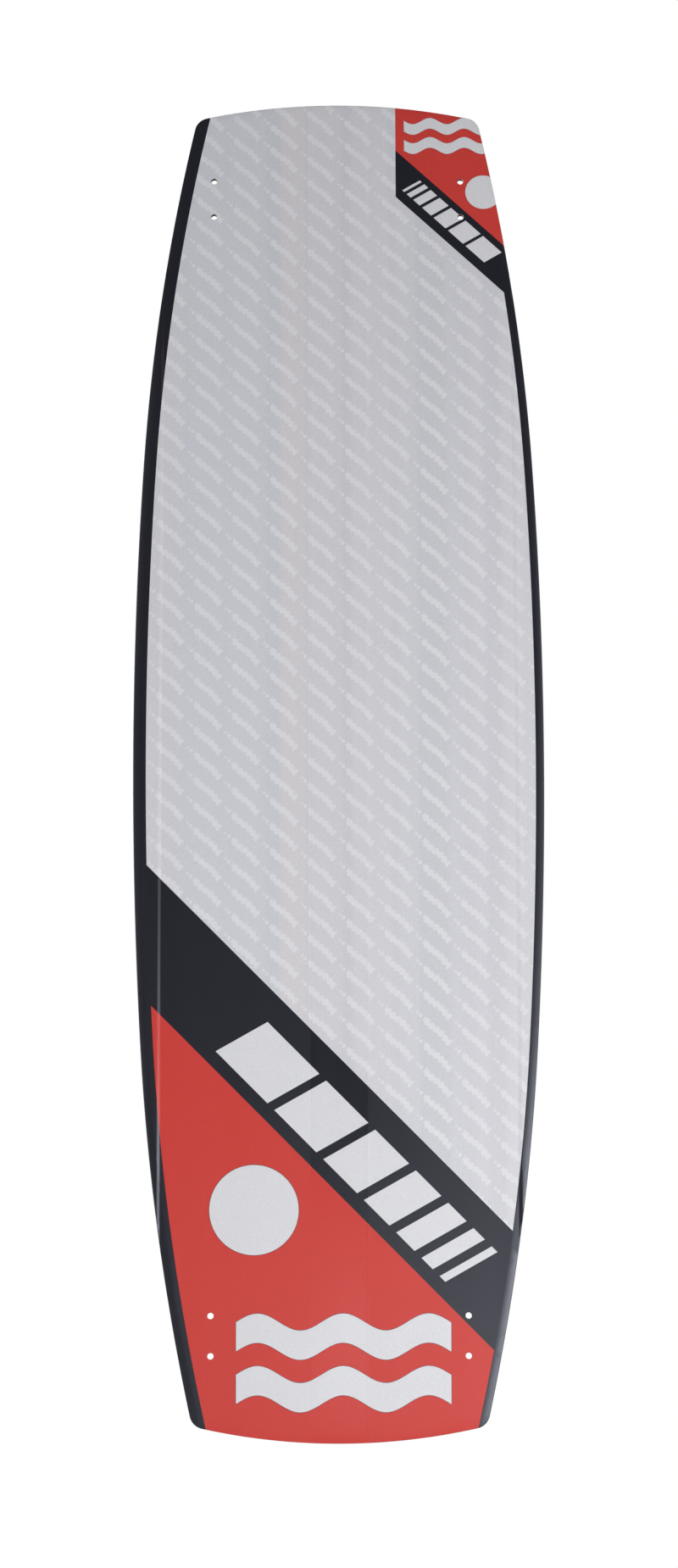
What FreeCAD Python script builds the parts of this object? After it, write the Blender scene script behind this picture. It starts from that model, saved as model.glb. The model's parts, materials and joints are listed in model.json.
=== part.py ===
"""Twin-tip kiteboard, bare, as it comes out of the press.

The board stands upright: Z runs along its length, X across its width, and Y through its
thickness with the base (the sliding side) towards -Y and the deck towards +Y.
The origin is the middle of the deck, between the two handle inserts.
It is a sandwich: printed base sheet, glass laminate, wood-strip core inside a ring of
ABS rails, glass laminate, deck sheet. Blocks and inserts sit in pockets in the core.
"""

import FreeCAD, Part
import math
import os
import Sketcher

V = FreeCAD.Vector
doc = FreeCAD.newDocument("kiteboard")

# ---------------------------------------------------------------- driving dimensions, mm

sheet = doc.addObject("Spreadsheet::Sheet", "Sizes")
DIMENSIONS = [
    ("boardLength", 1400, "tip to tip along the centreline"),
    ("boardWidth", 420, "across the middle"),
    ("tipWidth", 296.4, "between the points where side and tip curves would meet"),
    ("tipArcRadius", 645, "curve of each tip, seen from above"),
    ("midSpan", 600, "length of the flatter middle stretch of each side"),
    ("midFlatness", 1.37, "side radius in the middle over the radius of one plain arc"),
    ("cornerRadius", 16, "rounding of the four corners"),
    ("rockerHeight", 35, "rise of the base from middle to tip"),
    ("deckRocker", 31.5, "rise of the deck from middle to tip; less, so the tips are thin"),
    ("railDepth", 11, "deck middle down to the base rails"),
    ("channelWidth", 368, "wide shallow channel in the base"),
    ("channelDepth", 1, "depth of that channel"),
    ("channelBevel", 3, "width of its sloping edge"),
    ("deckFlatWidth", 300, "flat middle of the deck"),
    ("railDrop", 2.5, "how far the deck slopes down to the widest point"),
    ("sheetThickness", 0.5, "printed base sheet and deck sheet"),
    ("laminateThickness", 0.6, "glass laminate on each side of the core"),
    ("patchThickness", 0.5, "extra glass under the strap inserts"),
    ("sidewallWidth", 8, "ABS rail all round the core"),
    ("tipRailDepth", 40, "length of board that each tip rail takes up"),
    ("stringerWidth", 28, "hardwood strip that the strap inserts stand in"),
    ("finHoleSpread", 259.4, "across the board between fins"),
    ("finHoleInset", 86.8, "tip to the outer hole of a fin"),
    ("finHolePitch", 40, "between the two screws of a fin"),
    ("finHoleRadius", 3.25, "clearance for an M6 screw"),
    ("finBlockWidth", 18, "plastic block that lines a fin's holes"),
    ("strapRowSpread", 165, "across the board between the two insert rows"),
    ("stanceNear", 230, "middle of the board to the nearest insert"),
    ("insertPitch", 25, "between inserts of a row"),
    ("handleSpread", 200, "between the handle's two inserts"),
    ("insertRadius", 5.5, "barrel of an insert"),
    ("insertDepth", 6.5, "insert below the deck"),
    ("insertFlangeRadius", 8, "flange that keeps an insert from pulling out"),
    ("insertFlangeThickness", 1.2, "thickness of that flange"),
    ("threadRadius", 2.5, "core of the M6 thread"),
    ("threadDepth", 5.5, "blind hole in an insert"),
    ("patchMargin", 30, "patch beyond the outermost inserts"),
]
for row, (alias, value, note) in enumerate(DIMENSIONS, start=1):
    sheet.set(f"A{row}", note)
    sheet.set(f"B{row}", str(value))
    sheet.setAlias(f"B{row}", alias)
doc.recompute()

INNER_STRIPS = 4     # paulownia strips between the stringers
OUTER_STRIPS = 4     # paulownia strips outside each stringer
STANCES = 4          # inserts in each row
REACH = 120          # blanks and cutting tools run this far past the board, in Y
MARGIN = 20          # cross-sections run this far past the widest point, in X
PROUD = 5            # insert blanks stand this far above the deck before they are trimmed
SWEEP = 20           # degrees that the curved slabs span, more than the board needs

# ------------------------------------------------------- formulas in the sheet's own names

HALF_LENGTH = "(Sizes.boardLength / 2)"
HALF_WIDTH = "(Sizes.boardWidth / 2)"
HALF_TIP = "(Sizes.tipWidth / 2)"
HALF_MID = "(Sizes.midSpan / 2)"
TIP_CENTRE = f"({HALF_LENGTH} - Sizes.tipArcRadius)"
CORNER_Z = f"({TIP_CENTRE} + sqrt(Sizes.tipArcRadius^2 - {HALF_TIP}^2))"
SIDE_FALL = f"({HALF_WIDTH} - {HALF_TIP})"
SIDE_RADIUS = f"(Sizes.midFlatness * ({CORNER_Z}^2 + {SIDE_FALL}^2) / (2 * {SIDE_FALL}))"
BASE_RADIUS = f"(({HALF_LENGTH}^2 + Sizes.rockerHeight^2) / (2 * Sizes.rockerHeight))"
DECK_RADIUS = f"(({HALF_LENGTH}^2 + Sizes.deckRocker^2) / (2 * Sizes.deckRocker))"
RAIL_SPLIT_Z = f"({HALF_LENGTH} - Sizes.tipRailDepth)"
FIN_MID_Z = f"({HALF_LENGTH} - Sizes.finHoleInset - Sizes.finHolePitch / 2)"
FIN_X = "(Sizes.finHoleSpread / 2)"
STRAP_X = "(Sizes.strapRowSpread / 2)"
STRINGER_IN = f"({STRAP_X} - Sizes.stringerWidth / 2)"
STRINGER_OUT = f"({STRAP_X} + Sizes.stringerWidth / 2)"
INNER_WIDTH = f"(2 * {STRINGER_IN} / {INNER_STRIPS})"
OUTER_WIDTH = f"(({HALF_WIDTH} - Sizes.sidewallWidth - {STRINGER_OUT}) / {OUTER_STRIPS})"
SKIN = "(Sizes.sheetThickness + Sizes.laminateThickness)"
LAST_STANCE = f"(Sizes.stanceNear + {STANCES - 1} * Sizes.insertPitch)"


def number(expression):
    """The value of an expression now, as a plain number."""
    value = sheet.evalExpression(expression)
    return float(getattr(value, "Value", value))


def bind(thing, **expressions):
    """Bind properties to expressions; Base__x stands for Base.x."""
    for name, expression in expressions.items():
        thing.setExpression(name.replace("__", "."), expression)
    return thing


def deckHeight(z):
    """Y of the deck's flat middle at distance z from the board's middle."""
    return f"({DECK_RADIUS} - sqrt({DECK_RADIUS}^2 - ({z})^2))"


# ------------------------------------------------------------------- small shape helpers


def pin(sketch, element, point, x=None, y=None):
    """Hold one point of a sketch element at x, y, each an expression or None."""
    spots = {1: "StartPoint", 2: "EndPoint", 3: "Center"}
    place = getattr(sketch.Geometry[element], spots[point])
    for kind, expression, now in (("DistanceX", x, place.x), ("DistanceY", y, place.y)):
        if expression is None:
            continue
        index = sketch.addConstraint(Sketcher.Constraint(kind, -1, 1, element, point, now))
        sketch.setExpression(f"Constraints[{index}]", expression)


def radius(sketch, element, expression):
    now = number(expression)
    index = sketch.addConstraint(Sketcher.Constraint("Radius", element, now))
    sketch.setExpression(f"Constraints[{index}]", expression)


def polygon(name, corners):
    """A closed sketch in the XY plane through corners given as (x, y) expressions."""
    sketch = doc.addObject("Sketcher::SketchObject", name)
    spots = [V(number(x), number(y), 0) for x, y in corners]
    count = len(spots)
    for i in range(count):
        sketch.addGeometry(Part.LineSegment(spots[i], spots[(i + 1) % count]), False)
    for i in range(count):
        sketch.addConstraint(Sketcher.Constraint("Coincident", i, 2, (i + 1) % count, 1))
    for i, (x, y) in enumerate(corners):
        pin(sketch, i, 1, x, y)
    return sketch


def extrude(name, sketch):
    """A flat shape in the XZ plane made into a tall blank that spans the board in Y."""
    blank = doc.addObject("Part::Extrusion", name)
    blank.Base = sketch
    blank.DirMode = "Custom"
    blank.Dir = V(0, 1, 0)
    blank.LengthFwd = 2 * REACH
    blank.Symmetric = True
    blank.Solid = True
    return blank


def revolve(name, sketch, axisHeight):
    """A cross-section swept along the rocker, about an axis far above the deck."""
    slab = doc.addObject("Part::Revolution", name)
    slab.Source = sketch
    slab.Axis = V(1, 0, 0)
    slab.Angle = SWEEP
    slab.Symmetric = True
    slab.Solid = True
    return bind(slab, Base__y=axisHeight)


def block(name, x, width, z, length):
    """A box spanning the board in Y, from x and z upwards."""
    box = doc.addObject("Part::Box", name)
    box.Width = 2 * REACH
    box.Placement.Base.y = -REACH
    return bind(box, Length=width, Height=length, Placement__Base__x=x, Placement__Base__z=z)


def post(name, x, z, radiusOf, y=str(-REACH), height=str(2 * REACH)):
    """A cylinder along +Y from (x, y, z)."""
    rod = doc.addObject("Part::Cylinder", name)
    rod.Placement.Rotation = FreeCAD.Rotation(V(1, 0, 0), -90)
    bind(rod, Placement__Base__x=x, Placement__Base__y=y, Placement__Base__z=z)
    return bind(rod, Radius=radiusOf, Height=height)


def common(name, *shapes):
    both = doc.addObject("Part::MultiCommon", name)
    both.Shapes = list(shapes)
    return both


def fuse(name, shapes):
    whole = doc.addObject("Part::MultiFuse", name)
    whole.Shapes = list(shapes)
    return whole


def cut(name, base, tool):
    rest = doc.addObject("Part::Cut", name)
    rest.Base = base
    rest.Tool = tool
    return rest


pieces = {}


def piece(node, made):
    """Name a finished sub-part."""
    made.Label = node
    pieces[node] = made
    return made


# -------------------------------------------------------------------------- plan outline


def meet(centreA, radiusA, centreB, radiusB):
    """Where two circles cross, on the side away from the board's middle."""
    gap = centreB - centreA
    along = (gap.Length**2 + radiusA**2 - radiusB**2) / (2 * gap.Length)
    across = math.sqrt(radiusA**2 - along**2)
    unit = gap / gap.Length
    foot = centreA + unit * along
    side = V(-unit.y, unit.x, 0) * across
    return max(foot + side, foot - side, key=lambda spot: spot.x + spot.y)


def mirrored(spot, sx, sy):
    return V(sx * spot.x, sy * spot.y, 0)


def arc(centre, size, a, b):
    """The short arc about centre from a to b, whichever way round that is."""
    angles = [math.atan2(p.y - centre.y, p.x - centre.x) for p in (a, b)]
    if (angles[1] - angles[0]) % (2 * math.pi) > math.pi:
        angles.reverse()
    return Part.ArcOfCircle(Part.Circle(centre, V(0, 0, 1), size), *angles)


def nearEnd(sketch, element, spot):
    """1 if an arc starts at spot, 2 if it ends there."""
    shape = sketch.Geometry[element]
    starts = shape.StartPoint.distanceToPoint(spot)
    return 1 if starts < shape.EndPoint.distanceToPoint(spot) else 2


def outlineSketch(name):
    """Twelve tangent arcs: two long sides, four quarters, four corners and two tips."""
    sketch = doc.addObject("Sketcher::SketchObject", name)
    sketch.Placement.Rotation = FreeCAD.Rotation(V(1, 0, 0), 90)
    sideR = number(SIDE_RADIUS)
    sideC = V(number(HALF_WIDTH) - sideR, 0, 0)
    join = V(sideC.x + math.sqrt(sideR**2 - number(HALF_MID)**2), number(HALF_MID), 0)
    tipR = number("Sizes.tipArcRadius")
    tipC = V(0, number(TIP_CENTRE), 0)
    peak = V(number(HALF_TIP), number(CORNER_Z), 0)
    inward = (join - sideC) / sideR
    run = peak - join
    quarterR = -run.dot(run) / (2 * run.dot(inward))
    quarterC = join - inward * quarterR
    cornerR = number("Sizes.cornerRadius")
    cornerC = meet(quarterC, quarterR - cornerR, tipC, tipR - cornerR)
    onSide = quarterC + (cornerC - quarterC) * (quarterR / (quarterR - cornerR))
    onTip = tipC + (cornerC - tipC) * (tipR / (tipR - cornerR))

    def add(centre, size, a, b):
        return sketch.addGeometry(arc(centre, size, a, b), False)

    def touch(one, other, spot):
        ends = nearEnd(sketch, one, spot), nearEnd(sketch, other, spot)
        sketch.addConstraint(Sketcher.Constraint("Tangent", one, ends[0], other, ends[1]))

    sides = {}
    for sx in (-1, 1):
        a, b = mirrored(join, sx, -1), mirrored(join, sx, 1)
        sides[sx] = add(mirrored(sideC, sx, 1), sideR, a, b)
        pin(sketch, sides[sx], 3, f"{sx} * ({HALF_WIDTH} - {SIDE_RADIUS})", "0")
        radius(sketch, sides[sx], SIDE_RADIUS)
        for spot, sy in ((a, -1), (b, 1)):
            pin(sketch, sides[sx], nearEnd(sketch, sides[sx], spot), y=f"{sy} * {HALF_MID}")
    for sy in (-1, 1):
        tip = add(mirrored(tipC, 1, sy), tipR, mirrored(onTip, -1, sy), mirrored(onTip, 1, sy))
        pin(sketch, tip, 3, "0", f"{sy} * {TIP_CENTRE}")
        radius(sketch, tip, "Sizes.tipArcRadius")
        for sx in (-1, 1):
            start, end = mirrored(join, sx, sy), mirrored(onSide, sx, sy)
            quarter = add(mirrored(quarterC, sx, sy), quarterR, start, end)
            touch(sides[sx], quarter, start)
            mark = sketch.addGeometry(Part.Point(mirrored(peak, sx, sy)), True)
            index = sketch.addConstraint(
                Sketcher.Constraint("DistanceX", -1, 1, mark, 1, sx * peak.x))
            sketch.setExpression(f"Constraints[{index}]", f"{sx} * {HALF_TIP}")
            sketch.addConstraint(Sketcher.Constraint("PointOnObject", mark, 1, tip))
            sketch.addConstraint(Sketcher.Constraint("PointOnObject", mark, 1, quarter))
            corner = add(mirrored(cornerC, sx, sy), cornerR, end, mirrored(onTip, sx, sy))
            touch(quarter, corner, end)
            touch(corner, tip, mirrored(onTip, sx, sy))
            radius(sketch, corner, "Sizes.cornerRadius")
    return sketch


outline = outlineSketch("outline_sketch")
outerBlank = extrude("outer_blank", outline)
inset = doc.addObject("Part::Offset2D", "core_outline")
inset.Source = outline
inset.Join = "Intersection"
bind(inset, Value="-Sizes.sidewallWidth")
innerBlank = extrude("inner_blank", inset)

# ------------------------------------------------- curved slabs that bound the layers


def baseSlab(name, depth):
    """Everything on the deck side of the base surface, moved up by depth."""
    wide = f"({HALF_WIDTH} + {MARGIN})"
    lip = "(Sizes.channelWidth / 2)"
    floor = f"({lip} - Sizes.channelBevel)"
    low = f"({depth} - Sizes.railDepth)"
    high = f"({low} + Sizes.channelDepth)"
    right = [(floor, high), (lip, low), (wide, low), (wide, str(REACH))]
    left = [(f"(-{x})", y) for x, y in reversed(right)]
    profile = polygon(f"{name}_profile", left + right)
    return revolve(name, profile, f"{BASE_RADIUS} - Sizes.railDepth")


def deckSlab(name, depth):
    """Everything on the base side of the deck surface, moved down by depth."""
    wide = f"({HALF_WIDTH} + {MARGIN})"
    flat = "(Sizes.deckFlatWidth / 2)"
    slope = f"(Sizes.railDrop / ({HALF_WIDTH} - {flat}))"
    edge = f"(-{depth} - {slope} * ({wide} - {flat}))"
    right = [(wide, str(-REACH)), (wide, edge), (flat, f"(-{depth})")]
    left = [(f"(-{x})", y) for x, y in reversed(right)]
    profile = polygon(f"{name}_profile", right + left)
    return revolve(name, profile, DECK_RADIUS)


baseFace = baseSlab("base_face", "0")
underSheet = baseSlab("under_base_sheet", "Sizes.sheetThickness")
underLaminate = baseSlab("under_base_laminate", SKIN)
deckFace = deckSlab("deck_face", "0")
underDeckSheet = deckSlab("under_deck_sheet", "Sizes.sheetThickness")
underDeckLaminate = deckSlab("under_deck_laminate", SKIN)
underPatch = deckSlab("under_patch", f"({SKIN} + Sizes.patchThickness)")

# ----------------------------------------------------- fin holes and the blocks round them

SIDES = (("left", -1), ("right", 1))
ENDS = (("tail", -1), ("nose", 1))

finHoles = []
finBlockTools = {}
for end, sz in ENDS:
    for side, sx in SIDES:
        spot = f"{end}_{side}"
        x = f"{sx} * {FIN_X}"
        holeZ = [f"{sz} * {FIN_MID_Z} + {k} * Sizes.finHolePitch / 2" for k in (-1, 1)]
        halfBlock = "Sizes.finBlockWidth / 2"
        finHoles += [post(f"fin_hole_{spot}_{i}", x, z, "Sizes.finHoleRadius")
                     for i, z in enumerate(holeZ)]
        rounds = [post(f"fin_block_end_{spot}_{i}", x, z, halfBlock)
                  for i, z in enumerate(holeZ)]
        middle = block(f"fin_block_middle_{spot}", f"{x} - {halfBlock}",
                       "Sizes.finBlockWidth", holeZ[0], "Sizes.finHolePitch")
        finBlockTools[spot] = fuse(f"fin_block_tool_{spot}", rounds + [middle])
allFinHoles = fuse("fin_holes", finHoles)

# --------------------------------------------------------------- threaded inserts (M6)


def insert(name, x, z):
    """Barrel, flange and blind hole of one insert whose mouth is flush with the deck."""
    top = deckHeight(z)
    bottom = f"{top} - Sizes.insertDepth"
    flangeY = f"{top} - {SKIN} - Sizes.patchThickness - Sizes.insertFlangeThickness"
    tall = f"Sizes.insertDepth + {PROUD}"
    barrel = post(f"{name}_barrel", x, z, "Sizes.insertRadius", bottom, tall)
    flange = post(f"{name}_flange", x, z, "Sizes.insertFlangeRadius", flangeY,
                  "Sizes.insertFlangeThickness")
    hole = post(f"{name}_hole", x, z, "Sizes.threadRadius", f"{top} - Sizes.threadDepth", tall)
    return barrel, flange, hole


def insertGroup(node, spots):
    """Several inserts as one node of separate solids; returns barrels and whole blanks."""
    made = [insert(f"{node}_{i}", x, z) for i, (x, z) in enumerate(spots)]
    barrels = fuse(f"{node}_barrels", [barrel for barrel, flange, hole in made])
    blanks = fuse(f"{node}_blanks", [part for barrel, flange, hole in made
                                     for part in (barrel, flange)])
    holes = fuse(f"{node}_holes", [hole for barrel, flange, hole in made])
    piece(node, cut(f"{node}_body", common(f"{node}_trimmed", blanks, deckFace), holes))
    return barrels, blanks


barrels = {}
insertBlanks = {}
for end, sz in ENDS:
    node = f"strap_inserts_{end}"
    spots = [(f"{sx} * {STRAP_X}", f"{sz} * (Sizes.stanceNear + {i} * Sizes.insertPitch)")
             for i in range(STANCES) for side, sx in SIDES]
    barrels[end], insertBlanks[end] = insertGroup(node, spots)
handleSpots = [(f"{sx} * Sizes.handleSpread / 2", "0") for side, sx in SIDES]
barrels["handle"], insertBlanks["handle"] = insertGroup("handle_inserts", handleSpots)

# ------------------------------------------------------------------------------ skins

basePlate = common("base_plate", outerBlank, baseFace)
baseSheet = cut("base_sheet_whole", basePlate, underSheet)
piece("base_sheet", cut("base_sheet_body", baseSheet, allFinHoles))

baseGlass = cut("base_glass", common("base_glass_plate", outerBlank, underSheet), underLaminate)
piece("base_laminate", cut("base_laminate_body", baseGlass, allFinHoles))

deckOpenings = fuse("deck_openings", [allFinHoles, *barrels.values()])
deckPlate = common("deck_plate", outerBlank, deckFace)
deckSkin = cut("deck_sheet_whole", deckPlate, underDeckSheet)
piece("deck_sheet", cut("deck_sheet_body", deckSkin, deckOpenings))

deckGlassPlate = common("deck_glass_plate", outerBlank, underDeckSheet)
deckGlass = cut("deck_glass", deckGlassPlate, underDeckLaminate)
piece("deck_laminate", cut("deck_laminate_body", deckGlass, deckOpenings))

# --------------------------------------------------- rails: two sides and two tip pieces

coreSpace = common("core_space", underLaminate, underDeckLaminate)
ring = cut("rail_ring", common("rail_plate", outerBlank, coreSpace), innerBlank)
far = f"({HALF_LENGTH} + {MARGIN})"
wide = f"({HALF_WIDTH} + {MARGIN})"
for side, sx in SIDES:
    start = "0" if sx > 0 else f"-{wide}"
    zone = block(f"sidewall_zone_{side}", start, wide, f"-{RAIL_SPLIT_Z}", f"2 * {RAIL_SPLIT_Z}")
    piece(f"sidewall_{side}", common(f"sidewall_{side}_body", ring, zone))
for end, sz in ENDS:
    start = RAIL_SPLIT_Z if sz > 0 else f"-{far}"
    zone = block(f"tip_zone_{end}", f"-{wide}", f"2 * {wide}", start, f"{far} - {RAIL_SPLIT_Z}")
    piece(f"tip_rail_{end}", common(f"tip_rail_{end}_body", ring, zone))

# ---------------------------------------------- core: patches, fin blocks, wood strips

coreBlank = common("core_blank", innerBlank, coreSpace)
patchLayer = cut("patch_layer", coreBlank, underPatch)
patchZones = {}
for end, sz in ENDS:
    low = "(Sizes.stanceNear - Sizes.patchMargin)"
    high = f"({LAST_STANCE} + Sizes.patchMargin)"
    start = low if sz > 0 else f"-{high}"
    halfPatch = f"({STRAP_X} + Sizes.patchMargin)"
    zone = block(f"patch_zone_{end}", f"-{halfPatch}", f"2 * {halfPatch}",
                 start, f"{high} - {low}")
    patchZones[end] = common(f"patch_whole_{end}", patchLayer, zone)
    piece(f"insert_patch_{end}", cut(f"patch_{end}_body", patchZones[end], insertBlanks[end]))

for spot, tool in finBlockTools.items():
    whole = common(f"fin_block_whole_{spot}", coreBlank, tool)
    piece(f"fin_block_{spot}", cut(f"fin_block_{spot}_body", whole, allFinHoles))

pockets = fuse("core_pockets", [*finBlockTools.values(), *insertBlanks.values(),
                                *patchZones.values()])
woodCore = cut("wood_core", coreBlank, pockets)


def strip(node, x, width):
    zone = block(f"{node}_zone", x, width, f"-{far}", f"2 * {far}")
    piece(node, common(f"{node}_body", woodCore, zone))


for i in range(INNER_STRIPS):
    strip(f"core_strip_middle_{i + 1}", f"{i} * {INNER_WIDTH} - {STRINGER_IN}", INNER_WIDTH)
for side, sx in SIDES:
    start = STRINGER_IN if sx > 0 else f"-{STRINGER_OUT}"
    strip(f"stringer_{side}", start, "Sizes.stringerWidth")
    for i in range(OUTER_STRIPS):
        near = f"({STRINGER_OUT} + {i} * {OUTER_WIDTH})"
        width = OUTER_WIDTH if i < OUTER_STRIPS - 1 else f"({OUTER_WIDTH} + {MARGIN})"
        start = near if sx > 0 else f"-({near} + {width})"
        strip(f"core_strip_{side}_{i + 1}", start, width)

# ------------------------------------------------------------------- build and write

doc.recompute()
for thing in doc.Objects:
    if "Invalid" in thing.State or "Error" in thing.State:
        raise RuntimeError(f"{thing.Name} failed: {thing.State}")
for node, made in pieces.items():
    if made.Shape.isNull() or not made.Shape.isValid() or not made.Shape.Solids:
        raise RuntimeError(f"{node} has no valid solid")

os.makedirs("parts", exist_ok=True)
for node, made in pieces.items():
    made.Shape.exportStep(f"parts/{node}.step")
    print(f"{node}: {len(made.Shape.Solids)} solid(s), {made.Shape.Volume / 1000:.1f} cm3")
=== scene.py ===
# A bare twin-tip kiteboard: printed base sheet, black ABS rails, dark textured deck with brass inserts.
# x across, y through the thickness (base at -y), z along the board, in metres.
import json
import math

import bmesh
import bpy
import numpy as np
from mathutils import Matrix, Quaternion, Vector, geometry


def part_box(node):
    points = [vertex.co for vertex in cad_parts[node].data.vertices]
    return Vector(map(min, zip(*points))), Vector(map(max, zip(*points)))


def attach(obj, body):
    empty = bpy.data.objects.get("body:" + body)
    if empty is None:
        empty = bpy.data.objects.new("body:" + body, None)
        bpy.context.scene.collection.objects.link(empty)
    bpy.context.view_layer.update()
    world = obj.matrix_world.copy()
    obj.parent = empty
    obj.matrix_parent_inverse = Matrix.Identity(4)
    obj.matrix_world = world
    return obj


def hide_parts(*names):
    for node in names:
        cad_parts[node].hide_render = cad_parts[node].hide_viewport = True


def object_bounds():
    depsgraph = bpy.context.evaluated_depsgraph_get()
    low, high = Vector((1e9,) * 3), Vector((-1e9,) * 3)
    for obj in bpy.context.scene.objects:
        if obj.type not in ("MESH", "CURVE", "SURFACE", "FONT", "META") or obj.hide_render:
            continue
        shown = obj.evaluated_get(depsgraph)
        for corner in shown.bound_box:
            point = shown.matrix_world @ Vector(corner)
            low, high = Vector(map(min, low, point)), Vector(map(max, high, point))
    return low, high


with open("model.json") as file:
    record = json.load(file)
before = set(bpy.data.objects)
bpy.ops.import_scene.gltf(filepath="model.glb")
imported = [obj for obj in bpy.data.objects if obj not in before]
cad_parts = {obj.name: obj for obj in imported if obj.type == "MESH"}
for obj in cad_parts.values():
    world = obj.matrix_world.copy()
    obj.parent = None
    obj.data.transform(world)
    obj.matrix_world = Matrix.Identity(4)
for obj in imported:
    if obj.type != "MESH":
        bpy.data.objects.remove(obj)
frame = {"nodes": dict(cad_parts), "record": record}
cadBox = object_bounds()
print("frame loaded:", len(frame["nodes"]), "nodes")

mm = 0.001

boxLow, boxHigh = cadBox
board = {                     # in metres
    "length": boxHigh[2] - boxLow[2],
    "width": boxHigh[0] - boxLow[0],
    "tipWidth": 0.2964,       # where side and tip curves would meet
    "tipRadius": 0.645,
    "midSpan": 0.600,         # flatter stretch of each side
    "midFlatness": 1.37,      # its radius against that of a plain arc
    "cornerRadius": 0.016,
    "rocker": 0.035,          # base, middle to tip
    "deckRocker": boxHigh[1],   # the middle of the deck is at y = 0
    "railDepth": -boxLow[1],    # deck middle down to the base rails
    "channelHalf": 0.184,     # wide shallow channel in the base
    "channelDepth": 0.001,
    "channelBevel": 0.003,
    "deckFlatHalf": 0.150,
    "railDrop": 0.0025,
    "sheet": 0.0005,
    "laminate": 0.0006,
    "sidewall": 0.008,
    "railSplit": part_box("sidewall_left")[1][2],   # rails meet the tip rails here
    "rimBevel": 0.0075,       # outer strip of each long side, planed back a little
    "rimFall": 0.0006,
    "baseEdgeRadius": 0.0009,
    "deckEdgeRadius": 0.0028,
}
skin = board["sheet"] + board["laminate"]
outlineStep = 8 * mm          # between points along the outline, with at most this turn in radians
outlineTurn = 0.12
crispFrom = math.radians(32)  # edges that turn by more than this stay sharp
pastTips = 720.0              # lines of the print and the creases run this far out, in mm
root = "root"


# the board's shape, as functions of place

def circle(x, y, radius, count):
    return [(x + radius * math.cos(a), y + radius * math.sin(a))
            for a in np.linspace(0, 2 * math.pi, count + 1)[:-1]]


def circlesMeet(a, ra, b, rb):
    gap = b - a
    along = (gap.length_squared + ra * ra - rb * rb) / (2 * gap.length)
    across = math.sqrt(ra * ra - along * along)
    unit = gap.normalized()
    foot = a + unit * along
    side = Vector((-unit.y, unit.x)) * across
    return max(foot + side, foot - side, key=lambda p: p.x + p.y)


def quadrantArcs():           # middle, quarter, corner and tip arc of one quadrant: centre, radius, from, to
    half, halfTip = board["width"] / 2, board["tipWidth"] / 2
    tipCentre = Vector((0, board["length"] / 2 - board["tipRadius"]))
    peak = Vector((halfTip, tipCentre.y + math.sqrt(board["tipRadius"] ** 2 - halfTip ** 2)))
    fall = half - halfTip
    sideRadius = board["midFlatness"] * (peak.y ** 2 + fall ** 2) / (2 * fall)
    sideCentre = Vector((half - sideRadius, 0))
    halfMid = board["midSpan"] / 2
    join = Vector((sideCentre.x + math.sqrt(sideRadius ** 2 - halfMid ** 2), halfMid))
    outward = (join - sideCentre).normalized()
    run = peak - join
    quarterRadius = -run.length_squared / (2 * run.dot(outward))
    quarterCentre = join - outward * quarterRadius
    r = board["cornerRadius"]
    cornerCentre = circlesMeet(quarterCentre, quarterRadius - r, tipCentre, board["tipRadius"] - r)
    angles = [0]
    for a, b in ((sideCentre, join), (quarterCentre, cornerCentre), (tipCentre, cornerCentre)):
        angles.append(math.atan2(b.y - a.y, b.x - a.x))
    angles.append(math.pi / 2)
    centres = (sideCentre, quarterCentre, cornerCentre, tipCentre)
    radii = (sideRadius, quarterRadius, r, board["tipRadius"])
    return [(centres[i], radii[i], angles[i], angles[i + 1]) for i in range(4)]


arcs = quadrantArcs()


def onArc(arc, angle, inset=0.0):
    centre, radius = arc[0], arc[1] - inset
    return Vector((centre.x + radius * math.cos(angle), centre.y + radius * math.sin(angle)))


def outlineLoop(spacing, inset=0.0):   # the whole outline, anticlockwise from the middle of the right side
    quarter = []
    for arc in arcs:
        step = min(spacing, arc[1] * outlineTurn)
        count = max(2, round(arc[1] * (arc[3] - arc[2]) / step))
        quarter += [onArc(arc, arc[2] + (arc[3] - arc[2]) * i / count, inset) for i in range(count)]
    quarter.append(onArc(arcs[3], math.pi / 2, inset))
    second = [Vector((-p.x, p.y)) for p in reversed(quarter)][1:]
    upper = quarter + second
    lower = [Vector((-p.x, -p.y)) for p in upper][1:-1]
    return upper + lower


def sideDepth(x, z):          # how far inside the long sides a place is; the tips don't count
    p = Vector((abs(x), abs(z)))
    arc = arcs[0] if p.y <= board["midSpan"] / 2 else arcs[1]
    return arc[1] - (p - arc[0]).length


def insideOutline(x, z, margin=0.0):
    p = Vector((abs(x), abs(z)))
    if sideDepth(x, z) < margin or arcs[3][1] - (p - arcs[3][0]).length < margin:
        return False
    centre, radius, low, high = arcs[2]
    reach = p - centre
    inCorner = low < math.atan2(reach.y, reach.x) < high
    return not inCorner or radius - reach.length >= margin


def edgeNormal(x, z):         # outward normal of the outline at a place on it
    p = Vector((abs(x), abs(z)))
    best = None
    for centre, radius, low, high in arcs:
        reach = p - centre
        angle = math.atan2(reach.y, reach.x)
        if low - 1e-6 <= angle <= high + 1e-6:
            miss = abs(reach.length - radius)
            if best is None or miss < best[0]:
                best = (miss, reach.normalized())
    n = best[1]
    return Vector((math.copysign(n.x, x), math.copysign(n.y, z)))


def arcRadius(rise):          # radius of the arc that rises this much from middle to tip
    return ((board["length"] / 2) ** 2 + rise ** 2) / (2 * rise)


baseRadius, deckRadius = arcRadius(board["rocker"]), arcRadius(board["deckRocker"])
baseAxis, deckAxis = baseRadius - board["railDepth"], deckRadius


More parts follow.
